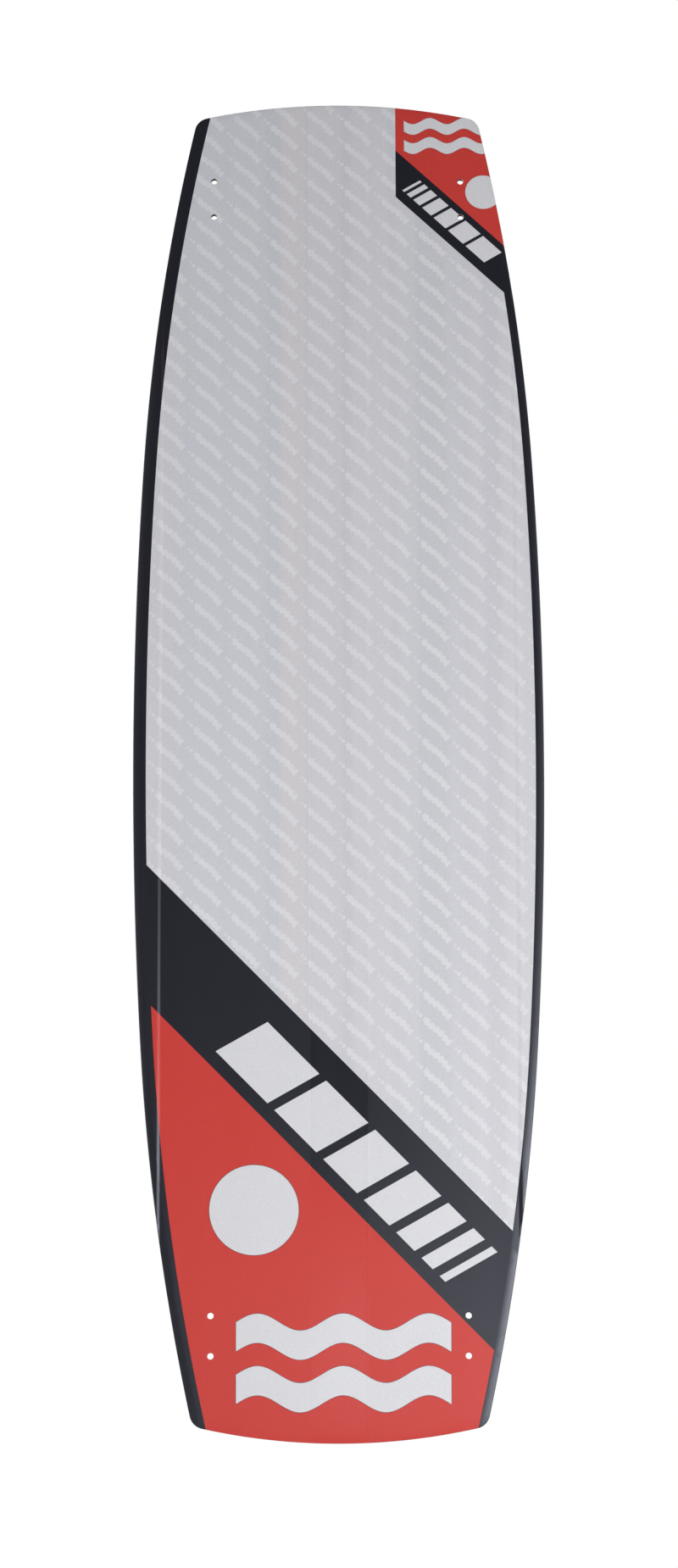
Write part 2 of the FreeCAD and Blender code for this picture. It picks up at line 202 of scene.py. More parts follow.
def baseY(x, z, depth=0.0):   # the base surface, or a layer this deep under it
    step = min(1.0, max(0.0, (board["channelHalf"] - abs(x)) / board["channelBevel"]))
    fall = board["rimFall"] * max(0.0, 1 - max(0.0, sideDepth(x, z)) / board["rimBevel"])
    level = board["channelDepth"] * step + fall + depth - board["railDepth"]
    return baseAxis - math.sqrt((baseAxis - level) ** 2 - z * z)


def deckY(x, z, depth=0.0):
    slope = board["railDrop"] / (board["width"] / 2 - board["deckFlatHalf"])
    level = -slope * max(0.0, abs(x) - board["deckFlatHalf"]) - depth
    return deckAxis - math.sqrt((deckAxis - level) ** 2 - z * z)


def rimInset(x, z, y):        # how far the rounded rim is set in at height y
    low, high = y - baseY(x, z), deckY(x, z) - y
    inset = 0.0
    for gap, radius in ((low, board["baseEdgeRadius"]), (high, board["deckEdgeRadius"])):
        if gap < radius:
            inset += radius - math.sqrt(max(0.0, radius ** 2 - (radius - max(gap, 0.0)) ** 2))
    return inset


# nodes, meshes and materials

def linear(hexColour):        # sRGB hex to linear rgba
    parts = [int(hexColour[i:i + 2], 16) / 255 for i in (0, 2, 4)]
    return tuple(p / 12.92 if p <= 0.04045 else ((p + 0.055) / 1.055) ** 2.4 for p in parts) + (1.0,)


def feed(tree, node, inputs):   # nodes and sockets are linked, plain values are set
    for key, value in inputs.items():
        if isinstance(value, bpy.types.Node):
            value = next(socket for socket in value.outputs if socket.enabled)
        if isinstance(value, bpy.types.NodeSocket):
            tree.links.new(value, node.inputs[key])
        else:
            node.inputs[key].default_value = value


def addNode(tree, kind, inputs=None, **settings):
    node = tree.nodes.new(kind)
    for key, value in settings.items():
        setattr(node, key, value)
    feed(tree, node, inputs or {})
    return node


def workOut(tree, value, steps):   # a table of maths steps: name, operation, and terms by name or number
    for name, operation, *terms in steps:
        inputs = {i: value.get(term, term) for i, term in enumerate(terms)}
        value[name] = addNode(tree, "ShaderNodeMath", inputs, operation=operation)


# a bare material and its noises, each given as size across, through and along the board in mm, then detail
def newMaterial(name, noises=None):
    material = bpy.data.materials.new(name)
    material.use_nodes = True
    tree = material.node_tree
    tree.nodes.clear()
    shader = addNode(tree, "ShaderNodeBsdfPrincipled")
    addNode(tree, "ShaderNodeOutputMaterial", {"Surface": shader})
    place = addNode(tree, "ShaderNodeTexCoord").outputs["Object"]
    noise = {}
    for pattern, (*sizes, detail) in (noises or {}).items():
        scale = tuple(1000 / size for size in sizes)
        spread = addNode(tree, "ShaderNodeMapping", {"Vector": place, "Scale": scale})
        noise[pattern] = addNode(tree, "ShaderNodeTexNoise", {
            "Vector": spread, "Scale": 1.0, "Detail": detail})
    return material, tree, shader, place, noise


def newObject(name, data):
    made = bpy.data.objects.new(name, data)
    bpy.context.scene.collection.objects.link(made)
    return made


def meshObject(name, verts, faces, slots=None, materials=()):
    mesh = bpy.data.meshes.new(name)
    mesh.from_pydata([tuple(v) for v in verts], [], faces)
    for material in materials:
        mesh.materials.append(material)
    if slots is not None:
        mesh.polygons.foreach_set("material_index", slots)
    return newObject(name, mesh)


def finishMesh(piece, mergeWithin=0.0):   # merged doubles, faces outwards, smooth but for real edges
    work = bmesh.new()
    work.from_mesh(piece.data)
    if mergeWithin:
        bmesh.ops.remove_doubles(work, verts=work.verts, dist=mergeWithin)
    bmesh.ops.recalc_face_normals(work, faces=work.faces)
    work.to_mesh(piece.data)
    work.free()
    piece.data.polygons.foreach_set("use_smooth", [True] * len(piece.data.polygons))
    piece.data.set_sharp_from_angle(angle=crispFrom)
    return piece


inks = {                      # dyes in the base sheet
    "black": "12131A",
    "red": "BE3A34",
    "white": "CBCBCF",
    "shade": "B4B7BD",        # what the grey drifts towards in patches
    "dash": "D1D1D5",
}

# place across the board in mm and tint: painted reflection bands, long soft stripes of lighter and darker
# grey in the light ink
paintedReflectionTints = (
    (-205, "C7C7CB"), (-184, "C6C5C9"), (-167, "C5C3C7"), (-163, "C2C4CA"), (-78, "C2C4CA"), (-72, "BFC1C7"),
    (-62, "BFC1C7"), (-57, "C7C4C7"), (-36, "C7C4C7"), (-32, "C1C1C6"), (-27, "C5C4C9"), (1, "C5C4C9"),
    (6, "C1C1C7"), (12, "C1C1C7"), (17, "C6C5CA"), (50, "C6C5CA"), (58, "C3C3C8"), (64, "C5C5CA"),
    (79, "C5C5CA"), (84, "C0C1C6"), (110, "C1C1C6"), (116, "C5C5CA"), (133, "C3C3C9"), (143, "C6C5CA"),
    (156, "C3C3C9"), (166, "C2C2C7"), (172, "C7C6CB"), (184, "C8C7CC"), (205, "C4C4C9"),
)

dashes = {                    # the sheet's faint all-over print: beaded dashes in slanting rows, in mm
    "stepAcross": 38.9,       # from one dash to the next along a row
    "stepDown": 36.6,
    "rowDown": 26.0,          # from one row to the next
    "from": 11.0,             # where the dash starts and ends within its step
    "to": 48.0,
    "thin": 1.7,              # half its thickness between beads, and how much a bead adds
    "bead": 2.0,
    "beadLength": 6.2,
    "wander": 0.7,
    "dots": ((2.0, 1.3), (6.6, 1.9)),   # place and radius of the dots before it
    "soft": 0.9,              # the edges fade over this much
    "cover": 0.85,            # how far a dash hides the ground
}


def beadDashes(tree, place):  # 0 on the ground, 1 on a dash
    d = dashes
    pitch = math.hypot(d["stepAcross"], d["stepDown"])
    inMm = addNode(tree, "ShaderNodeMapping", {"Vector": place, "Scale": (1000, 1000, 1000)})
    split = addNode(tree, "ShaderNodeSeparateXYZ", {0: inMm})
    value = {"x": split.outputs[0], "z": split.outputs[2]}
    steps = [
        ("column", "DIVIDE", "x", d["stepAcross"]),
        ("level", "MULTIPLY_ADD", "column", d["stepDown"], "z"),
        ("row", "DIVIDE", "level", -d["rowDown"]),
        ("rowPart", "FRACT", "row"),
        ("across", "SUBTRACT", "rowPart", 0.5),
        ("away", "MULTIPLY", "across", d["rowDown"] * d["stepAcross"] / pitch),
        ("lean", "MULTIPLY", "across", d["rowDown"] * d["stepDown"] / pitch),
        ("columnPart", "FRACT", "column"),
        ("straight", "MULTIPLY_ADD", "columnPart", pitch, "lean"),
        ("along", "WRAP", "straight", pitch, 0.0),
        ("bend", "MULTIPLY", "along", 4 * math.pi / pitch),
        ("bendSine", "SINE", "bend"),
        ("middleLine", "MULTIPLY_ADD", "bendSine", d["wander"], "away"),
        ("off", "ABSOLUTE", "middleLine"),
        ("turn", "MULTIPLY", "along", math.pi / d["beadLength"]),
        ("turnSine", "SINE", "turn"),
        ("swell", "ABSOLUTE", "turnSine"),
        ("half", "MULTIPLY_ADD", "swell", d["bead"], d["thin"]),
        ("sideRoom", "SUBTRACT", "half", "off"),
        ("fromMiddle", "SUBTRACT", "along", (d["from"] + d["to"]) / 2),
        ("offMiddle", "ABSOLUTE", "fromMiddle"),
        ("endRoom", "SUBTRACT", (d["to"] - d["from"]) / 2, "offMiddle"),
        ("room", "MINIMUM", "sideRoom", "endRoom"),
        ("awaySquared", "MULTIPLY", "away", "away"),
    ]
    for at, radius in d["dots"]:
        steps += [
            ("dotAlong", "SUBTRACT", "along", at),
            ("dotSquared", "MULTIPLY_ADD", "dotAlong", "dotAlong", "awaySquared"),
            ("dotDistance", "SQRT", "dotSquared"),
            ("dotRoom", "SUBTRACT", radius, "dotDistance"),
            ("room", "MAXIMUM", "room", "dotRoom"),
        ]
    workOut(tree, value, steps)
    return addNode(tree, "ShaderNodeMapRange", {
        "Value": value["room"], "From Min": -d["soft"], "From Max": d["soft"]},
        interpolation_type="SMOOTHSTEP")


shadeShare = 0.15             # how far the grey drifts


def plainInk(name):
    return lambda tree, place, cloud: linear(inks[name])


def paleInkWithPaintedReflections(tree, place, cloud):   # thin pale dye, with painted reflection bands: long soft stripes of tint across the board
    half = board["width"] / 2
    split = addNode(tree, "ShaderNodeSeparateXYZ", {0: place})
    across = addNode(tree, "ShaderNodeMapRange", {
        "Value": split.outputs[0], "From Min": -half, "From Max": half})
    # the ramp paints the reflection bands into the ink's colour
    ramp = addNode(tree, "ShaderNodeValToRGB", {0: across})
    stops = ramp.color_ramp.elements
    for (x, tint), stop in zip((paintedReflectionTints[0], paintedReflectionTints[-1]), (stops[0], stops[1])):
        stop.position, stop.color = (x * mm + half) / board["width"], linear(tint)
    for x, tint in paintedReflectionTints[1:-1]:
        stops.new((x * mm + half) / board["width"]).color = linear(tint)
    drift = addNode(tree, "ShaderNodeMath", {0: cloud, 1: shadeShare}, operation="MULTIPLY")
    ground = addNode(tree, "ShaderNodeMix", {0: drift, 6: ramp, 7: linear(inks["shade"])}, data_type="RGBA")
    cover = addNode(tree, "ShaderNodeMath", {
        0: beadDashes(tree, place), 1: dashes["cover"]}, operation="MULTIPLY")
    return addNode(tree, "ShaderNodeMix", {0: cover, 6: ground, 7: linear(inks["dash"])}, data_type="RGBA")


pressedSheet = {
    "noises": {
        "cloud": (26.0, 1000.0, 280.0, 3.0),
        "ripple": (36.0, 1000.0, 1900.0, 3.0),
        "lines": (1.1, 1000.0, 17.0, 2.0),   # drawn twice as wide as they are
        "grain": (1.4, 1.4, 1.4, 2.0),
    },
    "grainDepth": 0.05,
    "middle": 28.0,           # the press left the sheet glossier over the middle strips
    "polish": -0.07,
    "lineHeight": 0.03,       # of the ripple's
}


# dye printed into clear PBT and pressed on glass: even colour with a faint grain, a soft broad shine
def printedSheet(name, inkOf, ior=1.52, sheen="FFFFFF"):
    look = pressedSheet
    material, tree, shader, place, noise = newMaterial(name, look["noises"])
    depth = addNode(tree, "ShaderNodeMapRange", {
        "Value": noise["grain"], "From Min": 0.3, "From Max": 0.7,
        "To Min": 1 - look["grainDepth"], "To Max": 1 + look["grainDepth"]})
    ink = inkOf(tree, place, noise["cloud"])
    colour = addNode(tree, "ShaderNodeMix", {0: 1.0, 6: ink, 7: depth},
                     data_type="RGBA", blend_type="MULTIPLY")
    rough = addNode(tree, "ShaderNodeMapRange", {"Value": noise["cloud"], "To Min": 0.27, "To Max": 0.37})
    split = addNode(tree, "ShaderNodeSeparateXYZ", {0: place})
    wide = addNode(tree, "ShaderNodeMath", {0: split.outputs[0]}, operation="ABSOLUTE")
    polish = addNode(tree, "ShaderNodeMapRange", {
        "Value": wide, "From Min": look["middle"] * mm, "From Max": (look["middle"] + 2) * mm,
        "To Min": look["polish"], "To Max": 0.0})
    gloss = addNode(tree, "ShaderNodeMath", {0: rough, 1: polish}, operation="ADD")
    height = addNode(tree, "ShaderNodeMath", {
        0: noise["lines"], 1: look["lineHeight"], 2: noise["ripple"]}, operation="MULTIPLY_ADD")
    bump = addNode(tree, "ShaderNodeBump", {"Height": height, "Strength": 0.6, "Distance": 0.4 * mm})
    feed(tree, shader, {"Base Color": colour, "Roughness": gloss, "Normal": bump, "IOR": ior,
                        "Specular Tint": linear(sheen)})
    return material


def texturedSheet(name, colour):   # matt structured top sheet: fine pebbles that break up the shine
    look = {"pebble": 1.5, "noises": {"cloud": (80.0, 1000.0, 250.0, 4.0)}, "dashCover": 0.10}   # sizes in mm
    material, tree, shader, place, noise = newMaterial(name, look["noises"])
    cloud = noise["cloud"]
    depth = addNode(tree, "ShaderNodeMapRange", {"Value": cloud, "To Min": 0.82, "To Max": 1.25})
    ground = addNode(tree, "ShaderNodeMix", {0: 1.0, 6: linear(colour), 7: depth},
                     data_type="RGBA", blend_type="MULTIPLY")
    cover = addNode(tree, "ShaderNodeMath", {
        0: beadDashes(tree, place), 1: look["dashCover"]}, operation="MULTIPLY")
    printed = addNode(tree, "ShaderNodeMix", {
        0: cover, 6: ground, 7: linear(inks["shade"])}, data_type="RGBA")
    pebble = addNode(tree, "ShaderNodeTexVoronoi", {
        "Vector": place, "Scale": 1000 / look["pebble"], "Smoothness": 0.6}, feature="SMOOTH_F1")
    bump = addNode(tree, "ShaderNodeBump", {
        "Height": pebble.outputs["Distance"], "Strength": 0.45, "Distance": 0.2 * mm})
    rough = addNode(tree, "ShaderNodeMapRange", {"Value": cloud, "To Min": 0.42, "To Max": 0.58})
    feed(tree, shader, {"Base Color": printed, "Roughness": rough, "Normal": bump, "IOR": 1.5})
    return material


def routedAbs(name, colour, cutterMark):   # trimmed with a router and wiped with solvent: fine lines, satin
    noises = {"marks": (cutterMark, cutterMark, 30.0, 3.0), "smear": (18.0, 18.0, 18.0, 3.0)}
    material, tree, shader, place, noise = newMaterial(name, noises)
    depth = addNode(tree, "ShaderNodeMapRange", {"Value": noise["marks"], "To Min": 0.75, "To Max": 1.6})
    stripes = addNode(tree, "ShaderNodeMix", {0: 1.0, 6: linear(colour), 7: depth},
                      data_type="RGBA", blend_type="MULTIPLY")
    rough = addNode(tree, "ShaderNodeMapRange", {"Value": noise["smear"], "To Min": 0.34, "To Max": 0.52})
    bump = addNode(tree, "ShaderNodeBump", {"Height": noise["marks"], "Strength": 0.35, "Distance": 0.1 * mm})
    feed(tree, shader, {"Base Color": stripes, "Roughness": rough, "Normal": bump, "IOR": 1.54})
    return material


# stitched E-glass in epoxy: milky green, faint diagonal ribs, wet gloss at the cut edge
def glassLaminate():
    ribs = 2.0                # mm from one bundle of fibres to the next
    material, tree, shader, place = newMaterial("glassEpoxyLaminate")[:4]
    bundles = addNode(tree, "ShaderNodeTexWave", {
        "Vector": place, "Scale": math.pi * 100 / ribs, "Distortion": 0.6, "Detail": 1.0},
        wave_type="BANDS", bands_direction="DIAGONAL")
    fibre = bundles.outputs["Fac"]
    tint = addNode(tree, "ShaderNodeMix", {
        0: fibre, 6: linear("8F9A86"), 7: linear("B4BBA6")}, data_type="RGBA")
    bump = addNode(tree, "ShaderNodeBump", {"Height": fibre, "Strength": 0.3, "Distance": 0.1 * mm})
    feed(tree, shader, {"Base Color": tint, "Roughness": 0.35, "Normal": bump, "IOR": 1.55})
    return material


def planedWood(name, pale, dark, ringGap):   # growth lines along the board, open pores, no varnish
    stretch = 0.04            # the rings are drawn out along the board
    material, tree, shader, place, noise = newMaterial(name, {"pores": (0.6, 0.6, 20.0, 3.0)})
    drawn = addNode(tree, "ShaderNodeMapping", {"Vector": place, "Scale": (1, 1, stretch)})
    rings = addNode(tree, "ShaderNodeTexWave", {
        "Vector": drawn, "Scale": 300 / ringGap, "Distortion": 5.0, "Detail": 3.0, "Detail Scale": 2.0},
        wave_type="BANDS", bands_direction="X")
    share = addNode(tree, "ShaderNodeMix", {0: 0.4, 2: rings.outputs["Fac"], 3: noise["pores"]})
    colour = addNode(tree, "ShaderNodeMix", {0: share, 6: linear(pale), 7: linear(dark)}, data_type="RGBA")
    bump = addNode(tree, "ShaderNodeBump", {"Height": noise["pores"], "Strength": 0.4, "Distance": 0.2 * mm})
    feed(tree, shader, {"Base Color": colour, "Roughness": 0.62, "Normal": bump})
    return material


def turnedBrass():            # turned and left bare: bright yellow metal with a thin dull film
    material, tree, shader, place, noise = newMaterial("turnedBrass", {"film": (2.0, 2.0, 2.0, 3.0)})
    colour = addNode(tree, "ShaderNodeMix", {
        0: noise["film"], 6: linear("C9A45A"), 7: linear("B08A42")}, data_type="RGBA")
    rough = addNode(tree, "ShaderNodeMapRange", {"Value": noise["film"], "To Min": 0.2, "To Max": 0.4})
    feed(tree, shader, {"Base Color": colour, "Roughness": rough, "Metallic": 1.0})
    return material


greyInk = printedSheet("printedPbtGrey", paleInkWithPaintedReflections)
blackInk = printedSheet("printedPbtBlack", plainInk("black"), 1.6, "EDF0FF")   # dense dye, bluish shine
redInk = printedSheet("printedPbtRed", plainInk("red"), 1.4)
whiteInk = printedSheet("printedPbtWhite", plainInk("white"))
railAbs = routedAbs("routedAbsBlack", "17181A", 0.7)
blockAbs = routedAbs("drilledAbsMaroon", "5A1218", 1.1)
laminateGlass = glassLaminate()
paulownia = planedWood("planedPaulownia", "D9C39A", "B99B6C", 4.0)
ash = planedWood("planedAsh", "CDAE7C", "A5814F", 2.5)
brass = turnedBrass()
print("materials made")


# the printed design of the base, in millimetres on the board

design = {
    "leftBand": 13.1,         # black borders; the print sits 2 mm to one side
    "rightBand": 8.6,
    "greyLine": -315.0,       # x + z along the diagonal edges
    "redLine": -453.0,
    "notchX": 61.5,           # the corner patch by the nose
    "notchRed": 648.5,        # its edges where they meet notchX
    "notchGrey": 595.8,
    "notchFall": 0.948,
    "keyLine": 0.45,          # thin dark edge round the white shapes
    "sunAt": (-86.0, -468.0),
    "sunRadius": 45.0,
    "waveFrom": -104.0,
    "waveTo": 112.0,
    "waveLevels": (-594.0, -646.0),
    "waveThick": 29.0,
    "waveHeight": 8.5,
    "waveLength": 86.0,
    "barWidths": (74, 60, 48, 36, 26, 16, 8),
    "barGap": 9.8,
    "barFrom": 130.0,         # along the diagonal
    "barLow": -433.6,         # x + z of the bars' lower and upper edges
    "barHigh": -351.6,
    "barLean": 0.28,
    "smallScale": 0.42,
    "smallBarScale": 0.36,
    "smallWavesAt": (116.0, 665.0),
    "smallBarsAt": (122.6, 566.4),
}


def motifShapes(grow):        # sun, waves and bars as closed loops, grown outwards by so much
    d = design
    emblem = [circle(*d["sunAt"], d["sunRadius"] + grow, 72)]
    for level in d["waveLevels"]:
        xs = np.linspace(d["waveFrom"] - grow, d["waveTo"] + grow, 49)
        angles = [2 * math.pi * (x - d["waveFrom"]) / d["waveLength"] for x in xs]
        crest = [level + d["waveHeight"] * math.sin(a) for a in angles]
        half = d["waveThick"] / 2 + grow
        top = [(x, y + half) for x, y in zip(xs, crest)]
        bottom = [(x, y - half) for x, y in zip(xs, crest)]
        emblem.append(bottom + top[::-1])
    bars = []
    start = d["barFrom"]
    root2 = math.sqrt(2)
    low, high = d["barLow"] / root2 - grow, d["barHigh"] / root2 + grow
    for width in d["barWidths"]:
        loop = []
        near, end = start - grow, start + width + grow
        for s, t in ((near, low), (end, low), (end, high), (near, high)):
            lean = d["barLean"] * (t - low)
            loop.append(((s + lean + t) / root2, (t - s - lean) / root2))
        bars.append(loop)
        start += width + d["barGap"]
    return emblem, bars


def turnedSmall(loops, scale, centre, at, angle):   # a smaller copy, turned, centred somewhere else
    c, s = math.cos(angle) * scale, math.sin(angle) * scale
    (cx, cz), (atX, atZ) = centre, at
    return [[(atX + c * (x - cx) - s * (z - cz), atZ + s * (x - cx) + c * (z - cz)) for x, z in loop]
            for loop in loops]


def allMotifs(grow):
    emblem, bars = motifShapes(grow)
    waves = ((design["waveFrom"] + design["waveTo"]) / 2, sum(design["waveLevels"]) / 2)
    root2 = math.sqrt(2)
    s = design["barFrom"] + (sum(design["barWidths"]) + design["barGap"] * (len(design["barWidths"]) - 1)) / 2
    t = (design["barLow"] + design["barHigh"]) / 2 / root2
    barsCentre = ((s + t) / root2, (t - s) / root2)
    turn = math.pi - math.atan(design["notchFall"]) + math.pi / 4
    small = turnedSmall(emblem, design["smallScale"], waves, design["smallWavesAt"], math.pi)
    smallBars = turnedSmall(bars, design["smallBarScale"], barsCentre, design["smallBarsAt"], turn)
    return emblem + bars + small + smallBars


def within(x, z, loop):
    odd = False
    for (ax, az), (bx, bz) in zip(loop, loop[1:] + loop[:1]):
        if (az > z) != (bz > z) and x < ax + (z - az) * (bx - ax) / (bz - az):
            odd = not odd
    return odd


def boxed(loops):             # each loop after its box
    boxes = []
    for loop in loops:
        xs, zs = zip(*loop)
        boxes.append((min(xs), max(xs), min(zs), max(zs), loop))
    return boxes


whiteShapes = boxed(allMotifs(0.0))
keyShapes = boxed(allMotifs(design["keyLine"]))


def inAny(x, z, shapes):
    return any(x0 <= x <= x1 and z0 <= z <= z1 and within(x, z, loop) for x0, x1, z0, z1, loop in shapes)


def basePrint(x, z):          # which ink lies at a place, in mm: 0 grey, 1 black, 2 red, 3 white
    d = design
    inNotch = x > d["notchX"]
    fall = d["notchFall"] * (x - d["notchX"])
    depth = sideDepth(x * mm, z * mm) / mm
    if inAny(x, z, whiteShapes):
        return 3
    if inAny(x, z, keyShapes):
        return 1
    if inNotch and z > d["notchRed"] - fall:
        return 2
    if depth < (d["rightBand"] if x > 0 else d["leftBand"]):
        return 1
    if inNotch and z > d["notchGrey"] - fall:
        return 1
    if x + z < d["redLine"]:
        return 2
    return 1 if x + z < d["greyLine"] else 0


def sideLine(depth, side):    # a line that follows one long side at this depth, past both tips
    line = []
    overrun = 0.02            # radians past the tip
    quarterSteps, middleSteps = 40, 24
    middle, quarter = arcs[:2]
    for arc, low, high, count in (
            (quarter, quarter[3] + overrun, quarter[2], quarterSteps), (middle, middle[3], 0.0, middleSteps)):
        line += [onArc(arc, low + (high - low) * i / count, depth) for i in range(count)]
    upper = [(side * p.x / mm, p.y / mm) for p in line]
    widest = onArc(middle, 0.0, depth)
    return upper + [(side * widest.x / mm, 0.0)] + [(x, -z) for x, z in reversed(upper)]


def baseLines():              # every edge of the print, as open or closed lines in mm
    d = design
    edge = 230.0              # just outside the long sides
    lines = [sideLine(d["leftBand"] * mm, -1), sideLine(d["rightBand"] * mm, 1)]
    for total in (d["greyLine"], d["redLine"]):
        lines.append([(-edge, total + edge), (edge, total - edge)])
    lines.append([(d["notchX"], d["notchGrey"]), (d["notchX"], pastTips)])
    for level in (d["notchRed"], d["notchGrey"]):
        lines.append([(d["notchX"], level), (edge, level - d["notchFall"] * (edge - d["notchX"]))])
    for loops in (whiteShapes, keyShapes):
        lines += [entry[-1] + entry[-1][:1] for entry in loops]
    return lines


# thin plates: sheet and laminate on each face

def mountSpots(start):        # x and z in mm of both holes of each mount whose name starts so
    spots = []
    for mount in frame["record"]["mounts"]:
        if mount["name"].startswith(start):
            x, y, z = mount["pos_m"]
            across, along = (mount["dims"].get(key, 0.0) / 2 for key in ("spacing_x_mm", "spacing_y_mm"))
            spots += [(x / mm + side * across, z / mm + side * along) for side in (-1, 1)]
    return spots


finSpots, strapSpots, handleSpots = (mountSpots(start) for start in ("fin_", "strap_", "handle_"))
holeRadius = {"fin": 3.25, "insert": 5.5}


def holeSpots(deckSide):      # x, z and radius in mm
    spots = [(x, z, holeRadius["fin"]) for x, z in finSpots]
    if deckSide:
        spots += [(x, z, holeRadius["insert"]) for x, z in strapSpots + handleSpots]
    return spots


def finer(line, spacing):     # the same line with extra points, so it can follow a curved surface
    dense = [line[0]]
    for (ax, az), (bx, bz) in zip(line, line[1:]):
        count = max(1, math.ceil(math.hypot(bx - ax, bz - az) / spacing))
        dense += [(ax + (bx - ax) * k / count, az + (bz - az) * k / count) for k in range(1, count + 1)]
    return dense


def planMesh(lines, holes, spacing):   # triangles over the outline that keep every line; places in mm
    lineStep, holeSides = 10.0, 36
    edgeClear, holeClear = 4.0, 2.0   # the filling points keep this far off
    apart, slack = 0.01, 0.02         # nearer points are merged; triangles on the edge lie this near it
    points, edges = [], []

    def addLine(line, closed):
        first = len(points)
        if not closed:
            line = finer(line, lineStep)
        points.extend(Vector(p) for p in line)
        edges.extend((first + i, first + i + 1) for i in range(len(line) - 1))
        if closed:
            edges.append((first + len(line) - 1, first))

    addLine([p / mm for p in outlineLoop(outlineStep)], True)
    for x, z, radius in holes:
        addLine(circle(x, z, radius, holeSides), True)
    for line in lines:
        addLine(line, False)
    halfX, halfZ = board["width"] / 2 / mm, board["length"] / 2 / mm
    for x in np.arange(-halfX, halfX, spacing):
        for z in np.arange(-halfZ, halfZ, spacing):
            clear = all(math.hypot(x - hx, z - hz) > radius + holeClear for hx, hz, radius in holes)
            if clear and insideOutline(x * mm, z * mm, edgeClear * mm):
                points.append(Vector((x, z)))
    made = geometry.delaunay_2d_cdt(points, edges, [], 0, apart)
    places, triangles = made[0], made[2]
    kept = []
    for face in triangles:
        x = sum(places[i].x for i in face) / 3
        z = sum(places[i].y for i in face) / 3
        inHole = any(math.hypot(x - hx, z - hz) < radius * 0.995 for hx, hz, radius in holes)
        if not inHole and insideOutline(x * mm, z * mm, -slack * mm):
            kept.append(tuple(face))
    return places, kept


def borderLoops(faces):       # ordered loops of vertices along the open edges, in the faces' own direction
    directed = {(a, b) for face in faces for a, b in zip(face, face[1:] + face[:1])}
    after = {a: b for a, b in directed if (b, a) not in directed}
    loops = []
    while after:
        start, here = next(iter(after.items()))
        loop = [start]
        del after[start]
        while here != start:
            loop.append(here)
            here = after.pop(here)
        loops.append(loop)
    return loops


def plate(name, lower, upper, lines, holes, inkAt, materials, spacing, facing, chamfer=0.25):
    # lower and upper give y at (x, z); facing is -1 if the outer face is the lower one
    rimSteps = 3
    onHole = 0.3              # a border this near a hole's edge is that hole's
    mostChamfer = 0.45        # of the thickness
    places, faces = planMesh(lines, holes, spacing)
    used = sorted({i for face in faces for i in face})
    index = {old: new for new, old in enumerate(used)}
    spots = [Vector((places[i].x * mm, places[i].y * mm)) for i in used]
    faces = [tuple(index[i] for i in face) for face in faces]
    slots = [inkAt(sum(spots[i].x for i in f) / 3 / mm, sum(spots[i].y for i in f) / 3 / mm) for f in faces]
    count = len(spots)
    loops = borderLoops(faces)
    owner = {}
    for loop in loops:
        p = spots[loop[0]]
        for hx, hz, radius in holes:
            if abs(math.hypot(p.x / mm - hx, p.y / mm - hz) - radius) < onHole:
                owner.update({i: (hx * mm, hz * mm) for i in loop})
    rim = {i for loop in loops for i in loop if i not in owner}

    def place(i, share, layer):   # share 0 at the lower face, 1 at the upper
        p = spots[i]
        x, z = p.x, p.y
        y = lower(x, z) * (1 - share) + upper(x, z) * share
        if i in rim:
            inset = rimInset(x, z, y)
            n = edgeNormal(x, z)
            x, z = x - n.x * inset, z - n.y * inset
        elif i in owner and layer == "outer":
            cx, cz = owner[i]
            away = Vector((x - cx, z - cz)).normalized() * chamfer * mm
            x, z = x + away.x, z + away.y
        return (x, y, z)

    layers = ("outer", "inner") if facing < 0 else ("inner", "outer")
    verts = [place(i, share, layer) for share, layer in zip((0.0, 1.0), layers) for i in range(count)]
    allFaces = faces + [tuple(count + i for i in face[::-1]) for face in faces]
    allSlots = slots + slots
    edgeSlot = {}             # a wall takes the ink of the face that it hangs on
    for face, slot in zip(faces, slots):
        edgeSlot.update({pair: slot for pair in zip(face, face[1:] + face[:1])})
    for loop in loops:
        shares = [k / rimSteps for k in range(rimSteps + 1)]
        if loop[0] in owner:
            edge = min(mostChamfer, chamfer * mm / abs(upper(0, 0) - lower(0, 0)))
            shares = [0.0, edge if facing < 0 else 1 - edge, 1.0]
        rings = [loop]
        for share in shares[1:-1]:
            first = len(verts)
            verts.extend(place(i, share, "wall") for i in loop)
            rings.append(list(range(first, first + len(loop))))
        rings.append([count + i for i in loop])
        for a, b in zip(rings, rings[1:]):
            for k in range(len(loop)):
                nxt = (k + 1) % len(loop)
                allFaces.append((a[nxt], a[k], b[k], b[nxt]))
                allSlots.append(edgeSlot[loop[k], loop[nxt]])
    return finishMesh(meshObject(name, verts, allFaces, allSlots, materials))


def crease(half, *steps):     # long straight lines that keep the channel's bevel crisp
    places = [side * (half / mm + step) for side in (-1, 1) for step in steps]
    return [[(x, -pastTips), (x, pastTips)] for x in places]


bevel = board["channelBevel"] / mm
channelLines = crease(board["channelHalf"], 1.0, 0.0, -0.5, 0.5 - bevel, -bevel, -bevel - 1.0)
rimLines = [sideLine(board["rimBevel"] + step * mm, side) for side in (-1, 1) for step in (-0.4, 0.4)]
deckCrease = crease(board["deckFlatHalf"], 8.0, 0.0, -8.0)

baseSheet = plate(
    "basePrintedSheet", baseY, lambda x, z: baseY(x, z, board["sheet"]),
    baseLines() + channelLines + rimLines, holeSpots(False), basePrint,
    [greyInk, blackInk, redInk, whiteInk], spacing=12.0, facing=-1)
print("base sheet:", len(baseSheet.data.polygons), "faces")

baseGlass = plate(
    "baseGlassLaminate", lambda x, z: baseY(x, z, board["sheet"]), lambda x, z: baseY(x, z, skin),
    channelLines + rimLines, holeSpots(False), lambda x, z: 0,
    [laminateGlass], spacing=24.0, facing=-1, chamfer=0.0)

